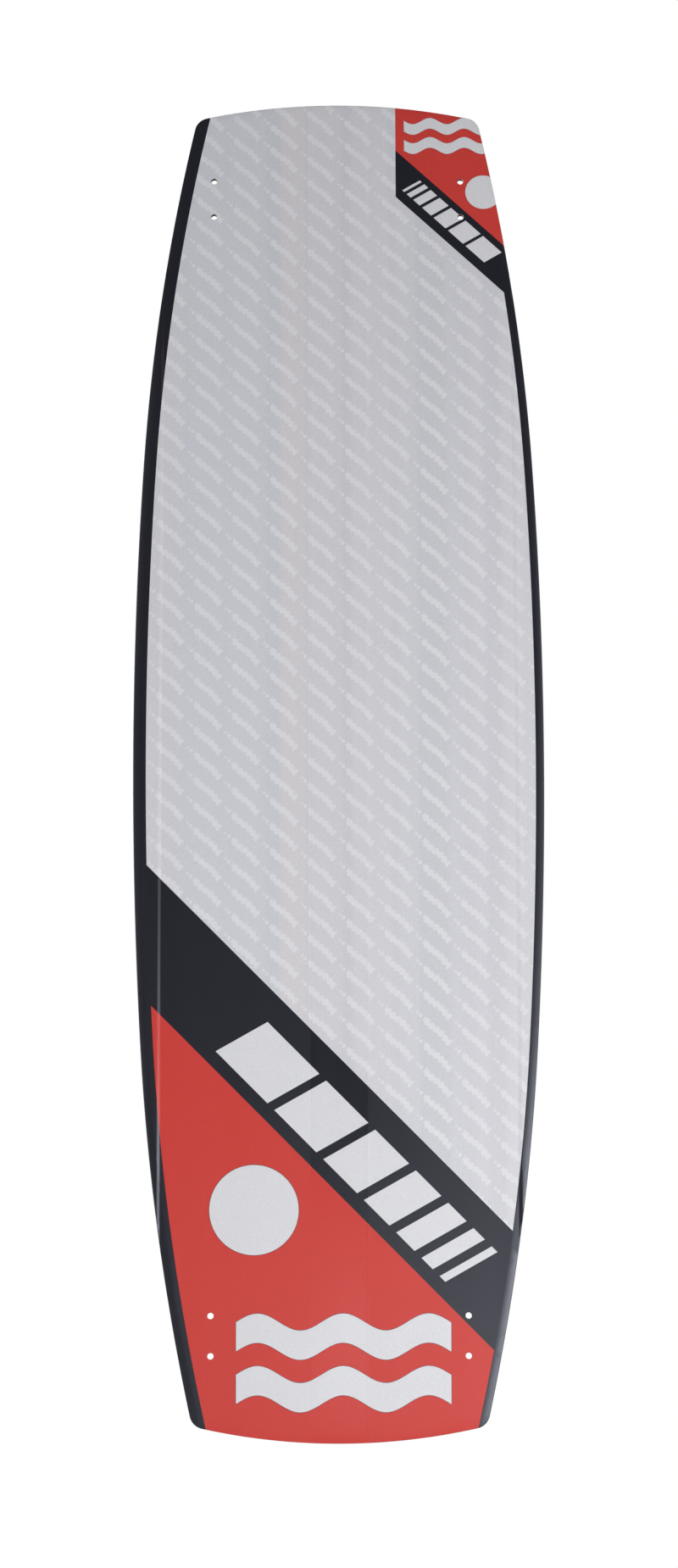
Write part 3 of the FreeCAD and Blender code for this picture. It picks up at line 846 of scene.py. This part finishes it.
deckDesign = {                # in mm along the board, at its middle
    "redLine": 640.0,
    "greyLine": 590.0,
    "lean": 0.35,
    "charcoal": "26282C",
    "grey": "8E9196",
    "red": "A82A26",
}


def deckPrint(x, z):          # charcoal, with a grey and a red corner at each end
    total = abs(x * deckDesign["lean"] + z)
    if total > deckDesign["redLine"]:
        return 2
    return 1 if total > deckDesign["greyLine"] else 0


def deckLines():
    lines = []
    reach = 300.0
    rise = reach * deckDesign["lean"]
    for level in (deckDesign["redLine"], deckDesign["greyLine"]):
        for sign in (-1, 1):
            lines.append([(-reach, sign * level + rise), (reach, sign * level - rise)])
    return lines


deckMaterials = [texturedSheet(f"texturedPbt{tint.title()}", deckDesign[tint])
                 for tint in ("charcoal", "grey", "red")]
deckSheet = plate(
    "deckTexturedSheet", lambda x, z: deckY(x, z, board["sheet"]), deckY,
    deckLines() + deckCrease, holeSpots(True), deckPrint, deckMaterials, spacing=14.0, facing=1)
deckGlass = plate(
    "deckGlassLaminate", lambda x, z: deckY(x, z, skin), lambda x, z: deckY(x, z, board["sheet"]),
    deckCrease, holeSpots(True), lambda x, z: 0,
    [laminateGlass], spacing=24.0, facing=1, chamfer=0.0)
print("deck sheet:", len(deckSheet.data.polygons), "faces")

for piece, node, slot in (
        (baseSheet, "base_sheet", "printed_base"), (baseGlass, "base_laminate", "glass_laminate"),
        (deckGlass, "deck_laminate", "glass_laminate"), (deckSheet, "deck_sheet", "deck_sheet")):
    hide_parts(node)
    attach(piece, root)


# rails, swept round the outline by geometry nodes

def outlineStretch(keep, ends):   # the outline places that pass the test, in order, between two end places
    loop = outlineLoop(outlineStep)
    flags = [keep(p) for p in loop]
    start = next(i for i in range(len(loop)) if flags[i] and not flags[i - 1])
    run = []
    while flags[start % len(loop)]:
        run.append(loop[start % len(loop)])
        start += 1
    ends = sorted(ends, key=lambda p: (p - run[0]).length)
    return [ends[0]] + run + [ends[1]]


def splitSpot(sx, sz):        # the place on the outline where side rail and tip rail meet
    arc = arcs[1]
    p = onArc(arc, math.asin((board["railSplit"] - arc[0].y) / arc[1]))
    return Vector((sx * p.x, sz * p.y))


def polyCurve(name, points, closed):
    curve = bpy.data.curves.new(name, "CURVE")
    curve.dimensions = "3D"
    spline = curve.splines.new("POLY")
    spline.points.add(len(points) - 1)
    for point, (x, y) in zip(spline.points, points):
        point.co = (x, y, 0.0, 1.0)
    spline.use_cyclic_u = closed
    return newObject(name, curve)


def railProfile():            # outwards, minus height: 0 is the base glass's top, 1 the deck glass's foot
    radius = board["deckEdgeRadius"]
    steps = 5                 # round the deck edge
    wallFrom = 2.0 * mm
    low = [(0.0, board["rimFall"]), (0.0, wallFrom)]
    gaps = [radius - (radius - skin) * k / steps for k in range(steps + 1)]
    high = [(math.sqrt(radius ** 2 - (radius - gap) ** 2) - radius, 1.0 - (gap - skin)) for gap in gaps]
    inner = [(-board["sidewall"], 1.0), (-board["sidewall"], 0.0), (-board["rimBevel"], 0.0)]
    return [(x, -height) for x, height in low + high + inner][::-1]


def newTree(name, sizes):     # a geometry tree with these named inputs, and their sockets' identifiers
    tree = bpy.data.node_groups.new(name, "GeometryNodeTree")
    identifiers = {}
    for label, kind in sizes:
        socket = tree.interface.new_socket(label, in_out="INPUT", socket_type="NodeSocket" + kind)
        identifiers[label] = socket.identifier
    tree.interface.new_socket("Geometry", in_out="OUTPUT", socket_type="NodeSocketGeometry")
    return tree, tree.nodes.new("NodeGroupInput").outputs, identifiers


def endTree(tree, shape, given):   # every tree ends alike
    real = addNode(tree, "GeometryNodeRealizeInstances", {0: shape})
    coated = addNode(tree, "GeometryNodeSetMaterial", {0: real, "Material": given["Material"]})
    addNode(tree, "NodeGroupOutput", {0: coated})


def runTree(name, tree, identifiers, values):   # the tree's result as a plain mesh of its own
    holder = newObject(name + "Nodes", bpy.data.meshes.new(name + "Nodes"))
    modifier = holder.modifiers.new("nodes", "NODES")
    modifier.node_group = tree
    for label, value in values.items():
        modifier[identifiers[label]] = value
    bpy.context.view_layer.update()
    mesh = bpy.data.meshes.new_from_object(holder.evaluated_get(bpy.context.evaluated_depsgraph_get()))
    bpy.data.objects.remove(holder)
    return newObject(name, mesh)


railSizes = {
    "Base Axis": baseAxis,
    "Deck Axis": deckAxis,
    "Rail Depth": board["railDepth"],
    "Skin": skin,
    "Channel Half": board["channelHalf"],
    "Channel Bevel": board["channelBevel"],
    "Channel Depth": board["channelDepth"],
    "Deck Flat": board["deckFlatHalf"],
    "Deck Slope": board["railDrop"] / (board["width"] / 2 - board["deckFlatHalf"]),
}


def railTree():               # sweeps the profile in plan, then bends every point onto the rocker
    tree, given, identifiers = newTree("railSweep", [
        ("Outline", "Object"), ("Profile", "Object"), ("Material", "Material"),
        *((label, "Float") for label in railSizes)])
    outline = addNode(tree, "GeometryNodeObjectInfo", {"Object": given["Outline"]})
    profile = addNode(tree, "GeometryNodeObjectInfo", {"Object": given["Profile"]})
    upright = addNode(tree, "GeometryNodeSetCurveNormal", {
        "Curve": outline.outputs["Geometry"]}, mode="Z_UP")
    sweep = addNode(tree, "GeometryNodeCurveToMesh", {
        "Curve": upright, "Profile Curve": profile.outputs["Geometry"], "Fill Caps": True})
    split = addNode(tree, "ShaderNodeSeparateXYZ", {0: addNode(tree, "GeometryNodeInputPosition")})
    value = {label: given[label] for label in railSizes}
    value.update(x=split.outputs[0], along=split.outputs[1], height=split.outputs[2])
    steps = (
        ("wide", "ABSOLUTE", "x"),
        ("inChannel", "SUBTRACT", "Channel Half", "wide"),
        ("ramp", "DIVIDE", "inChannel", "Channel Bevel"),
        ("rampTop", "MINIMUM", "ramp", 1.0),
        ("step", "MAXIMUM", "rampTop", 0.0),
        ("floor", "SUBTRACT", "Skin", "Rail Depth"),
        ("raised", "MULTIPLY_ADD", "step", "Channel Depth", "floor"),
        ("baseLevel", "ADD", "raised", "height"),
        ("beyond", "SUBTRACT", "wide", "Deck Flat"),
        ("slopeRun", "MAXIMUM", "beyond", 0.0),
        ("drop", "MULTIPLY_ADD", "slopeRun", "Deck Slope", "Skin"),
        ("fromDeck", "SUBTRACT", "height", 1.0),
        ("deckLevel", "SUBTRACT", "fromDeck", "drop"),
        ("isDeck", "GREATER_THAN", "height", 0.5),
        ("levelGap", "SUBTRACT", "deckLevel", "baseLevel"),
        ("level", "MULTIPLY_ADD", "isDeck", "levelGap", "baseLevel"),
        ("axisGap", "SUBTRACT", "Deck Axis", "Base Axis"),
        ("axis", "MULTIPLY_ADD", "isDeck", "axisGap", "Base Axis"),
        ("reach", "SUBTRACT", "axis", "level"),
        ("reachSquared", "MULTIPLY", "reach", "reach"),
        ("alongSquared", "MULTIPLY", "along", "along"),
        ("under", "SUBTRACT", "reachSquared", "alongSquared"),
        ("root", "SQRT", "under"),
        ("y", "SUBTRACT", "axis", "root"),
    )
    workOut(tree, value, steps)
    spot = addNode(tree, "ShaderNodeCombineXYZ", {"X": value["x"], "Y": value["y"], "Z": value["along"]})
    bent = addNode(tree, "GeometryNodeSetPosition", {"Geometry": sweep, "Position": spot})
    turned = addNode(tree, "GeometryNodeFlipFaces", {0: bent})   # plan to upright turns the faces inside out
    endTree(tree, turned, given)
    return tree, identifiers


profile = polyCurve("railProfile", railProfile(), True)
tree, identifiers = railTree()
split = board["railSplit"]
stretches = []
for side, sx in (("left", -1), ("right", 1)):
    stretches.append((f"{side}Rail", f"sidewall_{side}", [splitSpot(sx, -1), splitSpot(sx, 1)],
                      lambda p, s=sx: p.x * s > 0 and abs(p.y) < split - mm))
for end, sz in (("nose", 1), ("tail", -1)):
    stretches.append((f"{end}TipRail", f"tip_rail_{end}", [splitSpot(-1, sz), splitSpot(1, sz)],
                      lambda p, s=sz: p.y * s > split + mm))
for name, node, ends, keep in stretches:
    outline = polyCurve(name + "Outline", outlineStretch(keep, ends), False)
    rail = finishMesh(runTree(name, tree, identifiers, {
        "Outline": outline, "Profile": profile, "Material": railAbs, **railSizes}))
    bpy.data.objects.remove(outline)
    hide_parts(node)
    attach(rail, root)
bpy.data.objects.remove(profile)
print("rails swept")


# brass inserts, set out by geometry nodes

insert = {
    "barrelRadius": 5.45 * mm,
    "depth": 6.4 * mm,
    "flangeRadius": 7.9 * mm,
    "flangeTop": 1.7 * mm,
    "flangeThickness": 1.0 * mm,
    "coreRadius": 2.5 * mm,
    "threadHeight": 0.5 * mm,
    "pitch": 1.0 * mm,
    "holeDepth": 5.4 * mm,
    "drillTip": 0.6 * mm,
    "edge": 0.2 * mm,         # chamfers
    "mouth": 1.0 * mm,        # countersink
    "sink": 0.15 * mm,        # the ring's face lies this far under the deck sheet
    "round": 32,
}


def insertShape():            # one insert with its mouth at the origin, opening towards +y
    count, ringsPerTurn, closed = insert["round"], 8, 1e-5
    verts, faces = [], []

    def ring(radiusAt, y):
        first = len(verts)
        for k in range(count):
            a = 2 * math.pi * k / count
            r = radiusAt(a)
            verts.append((r * math.cos(a), y, r * math.sin(a)))
        return first

    def threadRadius(y):
        def at(a):
            turn = (y / insert["pitch"] + a / (2 * math.pi)) % 1.0
            return insert["coreRadius"] + insert["threadHeight"] * (1 - abs(2 * turn - 1))
        return at

    r, flange, depth, edge = insert["barrelRadius"], insert["flangeRadius"], insert["depth"], insert["edge"]
    top = insert["flangeTop"]
    low = top + insert["flangeThickness"]
    outer = [(0.0, -depth), (r - edge, -depth), (r, edge - depth), (r, -low), (flange, -low), (flange, -top),
             (r, -top), (r, -edge), (r - edge, 0.0), (insert["coreRadius"] + insert["mouth"], 0.0)]
    rings = [ring(lambda a, radius=radius: max(radius, closed), y) for radius, y in outer]
    steps = round(insert["holeDepth"] / insert["pitch"] * ringsPerTurn)
    for k in range(ringsPerTurn // 2, steps + 1):
        y = -insert["holeDepth"] * k / steps
        rings.append(ring(threadRadius(y), y))
    rings.append(ring(lambda a: closed, -insert["holeDepth"] - insert["drillTip"]))
    for a, b in zip(rings, rings[1:]):
        for k in range(count):
            nxt = (k + 1) % count
            faces.append((a + k, a + nxt, b + nxt, b + k))
    return finishMesh(meshObject("insertShape", verts, faces, materials=[brass]), 0.05 * mm)


def insertTree():             # a grid of points on the deck, an insert on each
    tree, given, identifiers = newTree("insertRows", [
        ("Insert", "Object"), ("Material", "Material"), ("Across", "Int"), ("Along", "Int"),
        ("Row Spread", "Float"), ("Row Length", "Float"), ("Middle Z", "Float"), ("Deck Axis", "Float"),
        ("Sink", "Float")])
    grid = addNode(tree, "GeometryNodeMeshGrid", {
        "Size X": given["Row Spread"], "Size Y": given["Row Length"],
        "Vertices X": given["Across"], "Vertices Y": given["Along"]})
    split = addNode(tree, "ShaderNodeSeparateXYZ", {0: addNode(tree, "GeometryNodeInputPosition")})
    value = {label: given[label] for label in ("Middle Z", "Deck Axis", "Sink")}
    value["row"] = split.outputs[1]
    steps = (
        ("z", "ADD", "row", "Middle Z"),
        ("zSquared", "MULTIPLY", "z", "z"),
        ("axisSquared", "MULTIPLY", "Deck Axis", "Deck Axis"),
        ("under", "SUBTRACT", "axisSquared", "zSquared"),
        ("root", "SQRT", "under"),
        ("deck", "SUBTRACT", "Deck Axis", "root"),
        ("y", "SUBTRACT", "deck", "Sink"),
    )
    workOut(tree, value, steps)
    spot = addNode(tree, "ShaderNodeCombineXYZ", {"X": split.outputs[0], "Y": value["y"], "Z": value["z"]})
    moved = addNode(tree, "GeometryNodeSetPosition", {"Geometry": grid, "Position": spot})
    source = addNode(tree, "GeometryNodeObjectInfo", {"Object": given["Insert"]})
    many = addNode(tree, "GeometryNodeInstanceOnPoints", {
        "Points": moved, "Instance": source.outputs["Geometry"]})
    endTree(tree, many, given)
    return tree, identifiers


shape = insertShape()
tree, identifiers = insertTree()
strapZ = sorted({z for x, z in strapSpots if z > 0})
strapX, handleX = (max(x for x, z in spots) for spots in (strapSpots, handleSpots))
rows = []
for end, side in (("nose", 1), ("tail", -1)):
    rows.append((f"{end}StrapInserts", f"strap_inserts_{end}", {
        "Along": len(strapZ), "Row Spread": 2 * strapX * mm, "Row Length": (strapZ[-1] - strapZ[0]) * mm,
        "Middle Z": side * (strapZ[0] + strapZ[-1]) / 2 * mm}))
rows.append(("handleInserts", "handle_inserts", {
    "Along": 1, "Row Spread": 2 * handleX * mm, "Row Length": 0.0, "Middle Z": 0.0}))
for name, node, values in rows:
    inserts = runTree(name, tree, identifiers, {
        "Insert": shape, "Material": brass, "Across": 2, "Deck Axis": deckAxis, "Sink": insert["sink"],
        **values})
    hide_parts(node)
    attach(inserts, root)
bpy.data.objects.remove(shape)
print("inserts set out")


# the pieces inside keep their CAD shapes

innerMaterials = {
    "core_strip": paulownia,
    "stringer": ash,
    "fin_block": blockAbs,
    "insert_patch": laminateGlass,
}
for name, node in frame["nodes"].items():
    for start, material in innerMaterials.items():
        if name.startswith(start):
            node.data.materials.clear()
            node.data.materials.append(material)
print("inner pieces coated")


# studio

studio = {
    "floorZ": -1.30,
    "floorRadius": 3.0,
    "floorGlow": 0.4,         # evens out the floor for the camera, lights nothing
    "cameraAt": (-0.0286, -3.9533, -0.7066),
    "aimAt": (0.0003, -0.010, -0.0361),
    "lens": 90.0,
    "roll": -0.12,
    "fill": 0.172,
    "lampsAim": (0, 0, -0.1),
}


def paleFloor():
    material, tree, shader = newMaterial("paleFloorPaint")[:3]
    seen = addNode(tree, "ShaderNodeLightPath").outputs["Is Camera Ray"]
    glow = addNode(tree, "ShaderNodeMath", {0: seen, 1: studio["floorGlow"]}, operation="MULTIPLY")
    feed(tree, shader, {"Base Color": linear("F4F4F4"), "Roughness": 0.9, "Specular IOR Level": 0.1,
                        "Emission Color": linear("F4F4F4"), "Emission Strength": glow})
    ring = [(x, y, studio["floorZ"]) for x, y in circle(0.0, 0.0, studio["floorRadius"], 96)]
    meshObject("floor", ring, [tuple(range(len(ring)))], materials=[material])


def softbox(name, at, width, height, power):
    data = bpy.data.lights.new(name, "AREA")
    data.shape = "RECTANGLE"
    data.size, data.size_y = width, height
    data.energy = power
    lamp = newObject(name, data)
    lamp.location = at
    lamp.rotation_euler = (Vector(studio["lampsAim"]) - Vector(at)).to_track_quat("-Z", "Y").to_euler()


def whiteRoom():              # a dim even fill, and plain white wherever the room itself is seen
    world = bpy.data.worlds.new("studioWorld")
    bpy.context.scene.world = world
    world.use_nodes = True
    tree = world.node_tree
    tree.nodes.clear()
    fill = addNode(tree, "ShaderNodeBackground", {"Color": linear("F6F8FC"), "Strength": studio["fill"]})
    seen = addNode(tree, "ShaderNodeBackground", {"Color": (1, 1, 1, 1), "Strength": 1.0})
    isSeen = addNode(tree, "ShaderNodeLightPath").outputs["Is Camera Ray"]
    addNode(tree, "ShaderNodeOutputWorld", {"Surface": addNode(
        tree, "ShaderNodeMixShader", {0: isSeen, 1: fill, 2: seen})})


paleFloor()
whiteRoom()
lamps = {                     # where each softbox hangs, its width and height, its power
    "lowRight": ((1.2, -1.8, -0.85), 0.9, 0.9, 21),
    "right": ((1.73, -1.69, 0.0), 0.7, 2.2, 21),
    "left": ((-3.0, -2.4, 0.4), 1.5, 3.0, 57),
    "lowFront": ((0.7, -3.4, -1.12), 1.6, 0.3, 8),
    "back": ((-1.5, 3.5, 1.6), 2.5, 2.5, 60),
}
for name, (at, width, height, power) in lamps.items():
    softbox(name, at, width, height, power)

camera = newObject("camera", bpy.data.cameras.new("camera"))
camera.data.lens = studio["lens"]
camera.data.sensor_width = 36.0
camera.location = studio["cameraAt"]
sight = Vector(studio["aimAt"]) - Vector(studio["cameraAt"])
camera.rotation_mode = "QUATERNION"
roll = Quaternion((0, 0, 1), math.radians(studio["roll"]))
camera.rotation_quaternion = sight.to_track_quat("-Z", "Y") @ roll
camera.data.clip_end = 100.0
bpy.context.scene.camera = camera
bpy.context.scene.view_settings.view_transform = "Standard"
print("studio ready")
